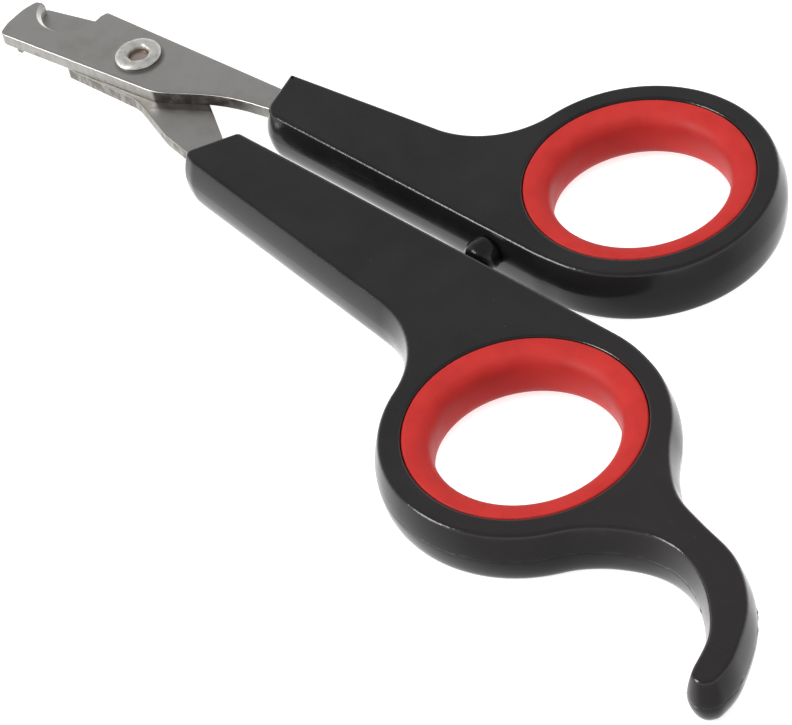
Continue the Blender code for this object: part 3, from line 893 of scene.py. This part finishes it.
def satin_steel():
    """Tumbled stainless sheet: fine grain, faint lines and stains, with sheared and pitted sides, and painted
    shade on the bottom blade's sides, beside the rivet and where the plates part.
    """
    paint = Paint("satin_steel_fine")
    stain = paint.between(paint.noise(3.2, 6, (1, 1, 1), 0.65), 0.45, 0.75)
    fine = paint.noise(0.35, 3)
    colour = paint.colours(paint.product(stain, 0.5), STEEL_CLEAN, STEEL_STAINED)
    colour = paint.colours(paint.product(fine, 0.25), colour, STEEL_GRAIN)
    side = paint.sides()
    sheared = paint.noise(0.5, 4, (1, 1, 0.35))
    side_colour = paint.colours(sheared, SHEARED_DARK, SHEARED_PALE)
    blotch = paint.between(paint.noise(1.6, 4), 0.60, 0.74)
    side_colour = paint.colours(paint.product(blotch, 0.6), side_colour, SHEARED_BLOTCH)
    # Painted shade: the bottom blade's sides are darkened, patchily, as if in the top blade's shade
    bottom_blade = paint.between(paint.height(), 0.0, -0.2)
    shaded = paint.product(bottom_blade, paint.between(sheared, 0.4, 0.6, 0.85, 0.3))
    side_colour = paint.colours(shaded, side_colour, SHEARED_SHADED)
    pits = paint.product(paint.specks(0.8, 0.09), 0.7)
    side_colour = paint.colours(pits, side_colour, STEEL_PIT)
    colour = paint.colours(side, colour, side_colour)
    # Painted shade, brownish, beside the rivet and where the plates part
    colour = paint.colours(painted_plate_shade(paint, side), colour, PLATE_SHADE)
    rough = paint.between(paint.noise(2.0, 5), 0.3, 0.7, 0.30, 0.40)
    rough = paint.calc("ADD", rough, paint.product(side, 0.12))
    paint.set(Base_Color=colour, Roughness=rough, Metallic=1.0)
    lines = paint.noise(0.16, 2, (0.06, 1.0, 1.0))
    cuts = paint.product(sheared, side)
    paint.relief((paint.noise(7.0, 1), 0.02), (lines, 0.0015), (paint.noise(0.12, 2), 0.0022), (cuts, 0.03))
    return paint.material


def painted_plate_shade(paint, side):
    """Brownish painted shade: a painted shadow beside the rivet, and painted shade where the plates part, on
    the top blade's side along its tang and on the bottom blade's face beside it.
    """
    height = paint.height()
    along = paint.along()
    # Distances out from the top blade's lower edge, beyond the bend and before it
    past_tang = paint.beyond(*TOP_BEND, right_of(TOP_BEND, TOP_WAIST))
    past_blade = paint.beyond(*TOP_BEND, right_of(TOP_HEEL, TOP_BEND))
    from_bend = paint.between(along, TOP_BEND[0] - 0.5, TOP_BEND[0])
    # Painted shade on the top blade's side along its tang
    tang_side_shade = paint.product(
        side,
        paint.between(height, 0.0, 0.02),
        from_bend,
        0.93,
        paint.between(along, 21.0, 13.5),
    )
    along_tang = paint.product(
        from_bend,
        paint.between(past_tang, 1.15, 0.95, 0.0, 0.45),
        paint.between(past_tang, -0.4, 0.0),
    )
    round_bend = paint.product(
        paint.between(along, 7.0, 6.0),
        paint.between(past_blade, 1.7, 0.6, 0.0, 0.55),
        paint.between(past_blade, -0.4, 0.0),
    )
    # Painted shade on the bottom blade's face, along the top blade's lower edge
    shade_beside_tang = paint.product(
        paint.between(height, -0.10, -0.05),
        paint.between(height, 0.3, 0.1),
        paint.between(side, 1.0, 0.0),
        paint.calc("MAXIMUM", along_tang, round_bend),
    )
    patchy = paint.between(paint.noise(1.2, 4), 0.2, 0.6, 0.7, 1.0)
    shade_where_plates_part = paint.product(patchy, paint.calc("MAXIMUM", tang_side_shade, shade_beside_tang))
    # Painted shadow: a dark crescent on the top blade's face beside the rivet's lip
    rivet_shadow = paint.product(
        paint.between(paint.reach(*RIVET_SHADOW_CENTRE), 3.05, 2.45, 0.0, 0.62),
        paint.between(height, 1.40, 1.45),
    )
    return paint.calc("MAXIMUM", rivet_shadow, shade_where_plates_part)


def rivet_steel():
    """Duller and paler than the plates, dented by the rolling tool and tarnished down its hole."""
    paint = Paint("rivet_steel")
    colour = paint.colours(paint.between(paint.noise(0.8, 4), 0.4, 0.7), RIVET_PALE, RIVET_DULL)
    height = paint.height()
    walls = paint.product(paint.between(height, 1.62, 1.35), paint.between(height, 0.0, 0.1))
    colour = paint.colours(walls, colour, RIVET_HOLE_WALL)
    bottom = paint.between(paint.reach(*RIVET_CENTRE), 1.1, 0.7)
    colour = paint.colours(bottom, colour, RIVET_HOLE_BOTTOM)
    rough = paint.between(paint.noise(0.5, 4), 0.3, 0.7, 0.40, 0.54)
    paint.set(Base_Color=colour, Roughness=rough, Metallic=0.75)
    paint.relief((paint.noise(0.9, 2), 0.05), (paint.noise(0.3, 2), 0.012), (paint.noise(0.12, 2), 0.003))
    return paint.material


def red_rubber():
    """Soft matt moulding: slight mottling, painted light that makes it paler lower down, fine pores and faint
    lines round its waist.
    """
    paint = Paint("red_rubber_fine")
    mottle = paint.noise(2.4, 4)
    colour = paint.colours(paint.between(mottle, 0.3, 0.7), RED_DEEP, RED_BRIGHT)
    # Painted light: paler lower down, standing in for light bounced up onto the lower wall
    colour = paint.colours(paint.between(paint.height(), 1.8, -1.8), colour, RED_PAINTED_LIGHT)
    rough = paint.between(mottle, 0.3, 0.7, 0.48, 0.60)
    paint.set(Base_Color=colour, Roughness=rough, Specular_IOR_Level=0.3)
    lines = paint.noise(0.5, 2, (0.02, 0.02, 1.0))
    paint.relief((paint.noise(5.0, 1), 0.04), (lines, 0.012), (paint.noise(0.2, 2), 0.004))
    return paint.material


def black_rubber():
    """Smooth dark rubber with slight unevenness."""
    paint = Paint("black_rubber_fine")
    cloud = paint.noise(0.8, 3)
    colour = paint.colours(cloud, RUBBER_DARK, RUBBER_PALE)
    paint.set(Base_Color=colour, Roughness=paint.between(cloud, 0.3, 0.7, 0.16, 0.26))
    paint.relief((paint.noise(0.9, 2), 0.05), (paint.noise(0.15, 2), 0.004))
    return paint.material


def studio_floor():
    """A white table that glows a little, as if lit from underneath, so that hardly a shadow shows."""
    paint = Paint("studio_floor")
    tone = paint.between(paint.noise(120.0, 2), 0.3, 0.7)
    paint.set(Base_Color=paint.colours(tone, FLOOR_DARK, FLOOR_PALE), Roughness=0.9)
    paint.set(Specular_IOR_Level=0.0, Emission_Color=(1, 1, 1, 1), Emission_Strength=0.75)
    return paint.material


# --- Studio ----------------------------------------------------------------------------------------


def make_camera():
    """The camera, which looks down at its target from CAMERA_BACK, and is rolled a little."""
    elevation = math.radians(CAMERA_ELEVATION)
    back = Vector((*(Vector(CAMERA_BACK) * math.cos(elevation)), math.sin(elevation))).normalized()
    camera = bpy.data.objects.new("camera", bpy.data.cameras.new("camera"))
    bpy.context.scene.collection.objects.link(camera)
    camera.data.lens = CAMERA_LENS
    camera.data.sensor_width = CAMERA_SENSOR
    camera.data.clip_start = 0.01
    camera.rotation_mode = "QUATERNION"
    upright = (-back).to_track_quat("-Z", "Y")
    camera.rotation_quaternion = Quaternion(-back, math.radians(-CAMERA_ROLL)) @ upright
    camera.location = place(*CAMERA_TARGET) + back * CAMERA_DISTANCE
    bpy.context.scene.camera = camera


def make_floor():
    """A round white floor under the object, which is seen but doesn't light it or show in it."""
    bm = bmesh.new()
    bmesh.ops.create_circle(bm, cap_ends=True, segments=96, radius=3.0)
    floor = finish_mesh("floor", bm)
    floor.data.materials.append(studio_floor())
    floor.visible_diffuse = False
    floor.visible_glossy = False
    floor.visible_shadow = False


def make_softbox(name, direction, distance, size, power, in_reflections=True):
    """A square area light that faces the object from a direction."""
    light = bpy.data.lights.new(name, "AREA")
    light.shape = "SQUARE"
    light.size = size
    light.energy = power
    obj = bpy.data.objects.new(name, light)
    bpy.context.scene.collection.objects.link(obj)
    direction = direction.normalized()
    obj.location = direction * distance
    obj.rotation_mode = "QUATERNION"
    obj.rotation_quaternion = direction.to_track_quat("Z", "Y")
    obj.visible_glossy = in_reflections


def make_world():
    """A pale surround that is dim overhead, and below the horizon is darker towards the camera."""
    world = bpy.data.worlds.new("studio")
    world.use_nodes = True
    bpy.context.scene.world = world
    nodes, links = world.node_tree.nodes, world.node_tree.links
    direction = nodes.new("ShaderNodeTexCoord").outputs["Generated"]
    split = nodes.new("ShaderNodeSeparateXYZ")
    links.new(direction, split.inputs[0])
    sky = add_ramp(nodes, SKY)
    links.new(split.outputs["Z"], sky.inputs[0])
    nearness = nodes.new("ShaderNodeVectorMath")
    nearness.operation = "DOT_PRODUCT"
    links.new(direction, nearness.inputs[0])
    nearness.inputs[1].default_value = (*CAMERA_BACK, 0)
    ground = add_range(nodes, links, nearness.outputs["Value"], (-0.7, 0.6), (GROUND_FAR, GROUND_NEAR))
    below_horizon = add_range(nodes, links, split.outputs["Z"], (0.0, -0.12), (0.0, 1.0))
    tone = nodes.new("ShaderNodeMix")
    links.new(below_horizon, tone.inputs["Factor"])
    links.new(sky.outputs[0], tone.inputs[2])
    links.new(ground, tone.inputs[3])
    links.new(tone.outputs[0], nodes["Background"].inputs["Color"])
    nodes["Background"].inputs["Strength"].default_value = 1.0


def add_range(nodes, links, value, old_range, new_range):
    """value carried evenly from one range to another, and held at its ends."""
    node = nodes.new("ShaderNodeMapRange")
    links.new(value, node.inputs["Value"])
    for name, limit in zip(("From Min", "From Max", "To Min", "To Max"), (*old_range, *new_range)):
        node.inputs[name].default_value = limit
    return node.outputs["Result"]


def add_ramp(nodes, tones):
    """A ramp of greys, from pairs of position and brightness."""
    ramp = nodes.new("ShaderNodeValToRGB")
    while len(ramp.color_ramp.elements) < len(tones):
        ramp.color_ramp.elements.new(0.5)
    for element, (position, tone) in zip(ramp.color_ramp.elements, tones):
        element.position = position
        element.color = (tone, tone, tone, 1)
    return ramp


def make_studio():
    """The camera, the floor, the surround and two soft lights, of which only the left one is mirrored."""
    make_camera()
    make_floor()
    make_world()
    overhead = Vector((0.1, 0.1, 1.0))
    left = Vector((-0.42, -0.76, 0.45))
    make_softbox("overhead", overhead, distance=0.9, size=1.2, power=10, in_reflections=False)
    make_softbox("left", left, distance=0.7, size=0.30, power=3.0)
    bpy.context.scene.view_settings.view_transform = "Standard"


# --- The scissors ----------------------------------------------------------------------------------


def fit(piece, node, body, material):
    """Puts a piece in place of a CAD node, on its body, with its finish."""
    piece.data.materials.clear()
    piece.data.materials.append(material)
    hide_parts(node)
    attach(piece, body)


def make_blades():
    """The top blade on the thumb side, and the bottom blade on the finger side."""
    steel = satin_steel()
    top = make_blade("top_plate", TOP_BLADE_OUTLINE, TOP_NOTCH, 1)
    fit(top, "top_blade", "thumb_side", steel)
    bottom = make_blade("bottom_plate", BOTTOM_BLADE_OUTLINE, BOTTOM_NOTCH, -1)
    fit(bottom, "bottom_blade", "finger_side", steel)


def make_handles():
    """Both mouldings, each with a pocket for its blade's tang and a front that is rounded underneath."""
    plastic = black_plastic()
    pocket, front = tang_cutter(TOP_BLADE_OUTLINE, 1), front_cutter(*THUMB_FRONT)
    thumb = make_moulding("thumb_moulding", thumb_handle_outline(), THUMB_RING, pocket, front)
    fit(thumb, "thumb_handle", "thumb_side", plastic)
    pocket, front = tang_cutter(BOTTOM_BLADE_OUTLINE, -1), front_cutter(*FINGER_FRONT)
    finger = make_moulding("finger_moulding", finger_handle_outline(), FINGER_RING, pocket, front)
    fit(finger, "finger_handle", "finger_side", plastic)


def make_grips():
    """The soft ring in each handle."""
    red = red_rubber()
    fit(make_grip_ring("thumb_grip", THUMB_RING), "thumb_ring_insert", "thumb_side", red)
    fit(make_grip_ring("finger_grip", FINGER_RING), "finger_ring_insert", "finger_side", red)


make_studio()
make_blades()
fit(make_rivet(), "pivot_rivet", "finger_side", rivet_steel())
make_handles()
make_grips()
fit(make_bumper(), "stop_bumper", "thumb_side", black_rubber())
